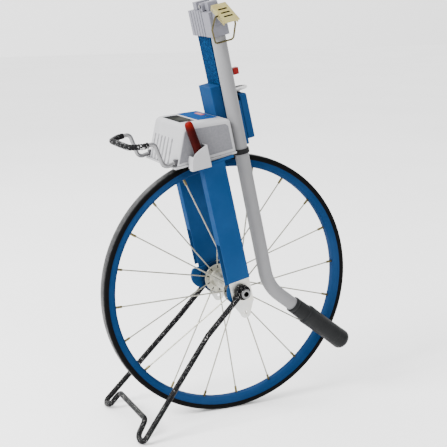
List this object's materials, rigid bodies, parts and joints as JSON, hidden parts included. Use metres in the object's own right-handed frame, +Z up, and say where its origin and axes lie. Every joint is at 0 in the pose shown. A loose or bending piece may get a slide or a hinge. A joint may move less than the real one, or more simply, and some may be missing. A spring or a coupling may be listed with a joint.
{
  "type": "measuring wheel",
  "caption": "Folding surveyor's measuring wheel on its wire stand: blue spoked wheel, blue fork and column, grey counter housing with a red crayon, folded grey handle with a black grip.",
  "frame": {"origin": "centre of the wheel, on the axle line at mid width", "axes": "+X to the rear (towards the operator), +Y along the axle to the side away from the folded handle, +Z up; the ground is at z = -0.194 m"},
  "size_m": [0.3879, 0.1818, 0.6055],
  "materials": {
    "tyre_rubber": "matt ribbed",
    "blue_paint": "gloss powder coat",
    "blue_fleck": "hammered paint",
    "zinc": "clear zinc plate",
    "steel": "bright",
    "nipple_brass": "dull",
    "dark_blue_plastic": "smooth moulded",
    "black_plastic": "matt",
    "cell_wrap": "printed-free wrap",
    "white_plastic": "smooth",
    "red_plastic": "smooth",
    "grey_plastic": "fine texture",
    "yellow_zinc": "yellow zinc plate",
    "grey_paint": "satin",
    "black_rubber": "moulded",
    "housing_plastic": "fine texture",
    "window": "clear over a dark display",
    "keypad_blue": "membrane",
    "board_green": "solder mask",
    "crayon_red": "waxy",
    "black_coat": "black coating, worn"
  },
  "bodies": {
    "frame": {"axle": "steel", "axle_nuts": "steel", "axle_spacers": "zinc", "axle_washers": "steel", "bail_clips": "black_plastic", "bail_sleeve": "black_rubber", "battery_box": "dark_blue_plastic", "battery_cells": "cell_wrap", "battery_cover": "dark_blue_plastic", "button_boss": "black_plastic", "cap_neck": "white_plastic", "circuit_board": "board_green", "column": "blue_fleck", "column_head": "grey_plastic", "column_sleeve": "blue_paint", "counter_housing": "housing_plastic", "crayon_pocket": "housing_plastic", "display_module": "black_plastic", "display_window": "window", "dropout_far": "zinc", "dropout_near": "zinc", "fork_crown": "blue_paint", "fork_leg_far": "blue_paint", "fork_leg_near": "blue_paint", "front_bail": "steel", "hinge_pin": "steel", "housing_base": "housing_plastic", "keypad": "keypad_blue", "latch_catch": "yellow_zinc", "pickup_sensor": "black_plastic", "screws": "yellow_zinc", "sensor_pod": "dark_blue_plastic"},
    "wheel": {"tyre": "tyre_rubber", "rim": "blue_paint", "spokes": "steel", "spoke_nipples": "nipple_brass", "hub_shell": "zinc", "hub_bearings": "steel", "encoder_disc": "dark_blue_plastic"},
    "handle": {"handle_head": "grey_plastic", "handle_tube": "grey_paint", "grip": "black_rubber", "tube_ring": "black_rubber", "latch_base": "grey_plastic", "latch_pin": "steel"},
    "stand_body": {"stand": "black_coat"},
    "latch_lever_body": {"latch_lever": "yellow_zinc"},
    "latch_bail_body": {"latch_bail": "yellow_zinc"},
    "side_button_body": {"side_button": "red_plastic"},
    "reset_button_body": {"reset_button": "red_plastic"},
    "hold_button_body": {"hold_button": "black_plastic"},
    "crayon_body": {"crayon": "crayon_red"},
    "battery_cap_body": {"battery_cap": "white_plastic"}
  },
  "joints": [
    {"name": "wheel_spin", "type": "hinge", "parent": "frame", "child": "wheel", "pos_m": [0, 0, 0], "axis": [0, 1, 0], "continuous": true},
    {"name": "stand_fold", "type": "hinge", "parent": "frame", "child": "stand_body", "pos_m": [0, 0, 0], "axis": [0, 1, 0], "range_deg": [0, 100]},
    {"name": "handle_fold", "type": "hinge", "parent": "frame", "child": "handle", "pos_m": [-0.03711, -0.0195, 0.40391], "axis": [-0.9748, 0, -0.2233], "range_deg": [0, 180]},
    {"name": "latch_lever_pivot", "type": "hinge", "parent": "handle", "child": "latch_lever_body", "pos_m": [-0.03818, -0.05997, 0.39963], "axis": [0.9748, 0, 0.2233], "range_deg": [0, 58]},
    {"name": "latch_bail_pivot", "type": "hinge", "parent": "latch_lever_body", "child": "latch_bail_body", "pos_m": [-0.03646, -0.07282, 0.3921], "axis": [0.9748, 0, 0.2233], "range_deg": [-81.2, 0]},
    {"name": "side_button_press", "type": "slide", "parent": "frame", "child": "side_button_body", "axis": [-0.9748, 0, -0.2233], "range_m": [0, 0.003], "stiffness_N_per_m": 300, "springref_m": -0.002},
    {"name": "reset_button_press", "type": "slide", "parent": "frame", "child": "reset_button_body", "axis": [0.0872, 0, -0.9962], "range_m": [0, 0.0006], "stiffness_N_per_m": 300, "springref_m": -0.001},
    {"name": "hold_button_press", "type": "slide", "parent": "frame", "child": "hold_button_body", "axis": [0.0872, 0, -0.9962], "range_m": [0, 0.0006], "stiffness_N_per_m": 300, "springref_m": -0.001},
    {"name": "crayon_lift", "type": "slide", "parent": "frame", "child": "crayon_body", "axis": [-0.3526, 0, 0.9358], "range_m": [0, 0.05]},
    {"name": "battery_cap_turn", "type": "hinge", "parent": "frame", "child": "battery_cap_body", "pos_m": [0.01681, 0, 0.28495], "axis": [-0.2233, 0, 0.9748], "range_deg": [0, 90]}
  ],
  "couplings": [
    {"joint": "latch_bail_pivot", "follows": "latch_lever_pivot", "ratio": -1.4}
  ]
}
